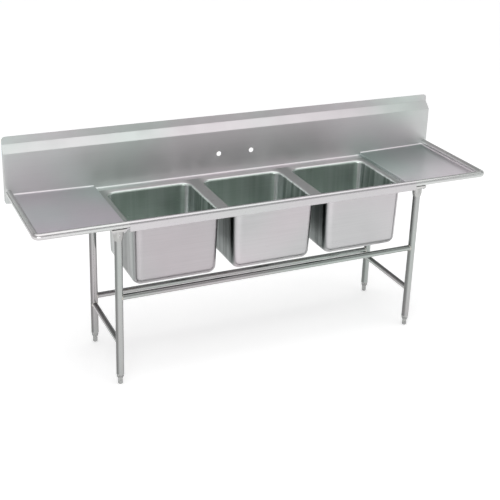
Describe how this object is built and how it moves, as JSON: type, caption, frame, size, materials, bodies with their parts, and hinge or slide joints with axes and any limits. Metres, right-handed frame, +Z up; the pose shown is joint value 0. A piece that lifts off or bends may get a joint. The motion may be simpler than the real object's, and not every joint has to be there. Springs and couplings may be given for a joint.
{
  "type": "three compartment sink",
  "caption": "Freestanding stainless scullery sink: deep drawn bowls in a row, a drainboard at each end, rolled rims, a tall splash behind, and tube legs with cross rails.",
  "frame": {"origin": "on the floor, under the middle of the sink's length and depth", "axes": "+X along the row of bowls, to the right from the front; +Y back to the wall; +Z up"},
  "size_m": [2.6416, 0.673, 1.223],
  "materials": {
    "splash_steel": "satin, grain along the length",
    "rim_steel": "satin, grain along the rim",
    "deck_steel": "satin, grain along the length",
    "bowl_steel": "satin, grain along the row",
    "channel_steel": "mill finish",
    "tube_steel": "polished along the tube",
    "socket_steel": "satin",
    "foot_steel": "turned",
    "hardware_steel": "bright",
    "drain_chrome": "plated",
    "lock_nut_brass": "cast and turned",
    "gasket_rubber": "matt"
  },
  "bodies": {
    "sink": {"back_strip": "deck_steel", "backsplash": "splash_steel", "bowl_centre": "bowl_steel", "bowl_left": "bowl_steel", "bowl_right": "bowl_steel", "drain_centre": "drain_chrome", "drain_gasket_centre": "gasket_rubber", "drain_gasket_left": "gasket_rubber", "drain_gasket_right": "gasket_rubber", "drain_left": "drain_chrome", "drain_lock_nut_centre": "lock_nut_brass", "drain_lock_nut_left": "lock_nut_brass", "drain_lock_nut_right": "lock_nut_brass", "drain_right": "drain_chrome", "drainboard_left": "deck_steel", "drainboard_right": "deck_steel", "drainboard_stiffener_left": "channel_steel", "drainboard_stiffener_right": "channel_steel", "front_rail": "tube_steel", "left_brace": "tube_steel", "leg_channel_left": "channel_steel", "leg_channel_right": "channel_steel", "leg_front_left": "tube_steel", "leg_front_right": "tube_steel", "leg_insert_front_left": "foot_steel", "leg_insert_front_right": "foot_steel", "leg_insert_rear_left": "foot_steel", "leg_insert_rear_right": "foot_steel", "leg_rear_left": "tube_steel", "leg_rear_right": "tube_steel", "leg_socket_front_left": "socket_steel", "leg_socket_front_right": "socket_steel", "leg_socket_rear_left": "socket_steel", "leg_socket_rear_right": "socket_steel", "rear_rail": "tube_steel", "right_brace": "tube_steel", "rim_centre": "rim_steel", "rim_left": "rim_steel", "rim_right": "rim_steel", "socket_set_screws": "hardware_steel", "socket_studs": "hardware_steel", "splash_end_cap_left": "splash_steel", "splash_end_cap_right": "splash_steel"},
    "foot_front_left": {"foot_front_left": "foot_steel"},
    "foot_front_right": {"foot_front_right": "foot_steel"},
    "foot_rear_left": {"foot_rear_left": "foot_steel"},
    "foot_rear_right": {"foot_rear_right": "foot_steel"},
    "basket_left": {"strainer_basket_left": "drain_chrome"},
    "basket_centre": {"strainer_basket_centre": "drain_chrome"},
    "basket_right": {"strainer_basket_right": "drain_chrome"}
  },
  "joints": [
    {"name": "level_front_left", "type": "slide", "parent": "sink", "child": "foot_front_left", "axis": [0, 0, -1], "range_m": [0, 0.025]},
    {"name": "level_front_right", "type": "slide", "parent": "sink", "child": "foot_front_right", "axis": [0, 0, -1], "range_m": [0, 0.025]},
    {"name": "level_rear_left", "type": "slide", "parent": "sink", "child": "foot_rear_left", "axis": [0, 0, -1], "range_m": [0, 0.025]},
    {"name": "level_rear_right", "type": "slide", "parent": "sink", "child": "foot_rear_right", "axis": [0, 0, -1], "range_m": [0, 0.025]},
    {"name": "lift_basket_left", "type": "slide", "parent": "sink", "child": "basket_left", "axis": [0, 0, 1], "range_m": [0, 0.42]},
    {"name": "lift_basket_centre", "type": "slide", "parent": "sink", "child": "basket_centre", "axis": [0, 0, 1], "range_m": [0, 0.42]},
    {"name": "lift_basket_right", "type": "slide", "parent": "sink", "child": "basket_right", "axis": [0, 0, 1], "range_m": [0, 0.42]}
  ]
}
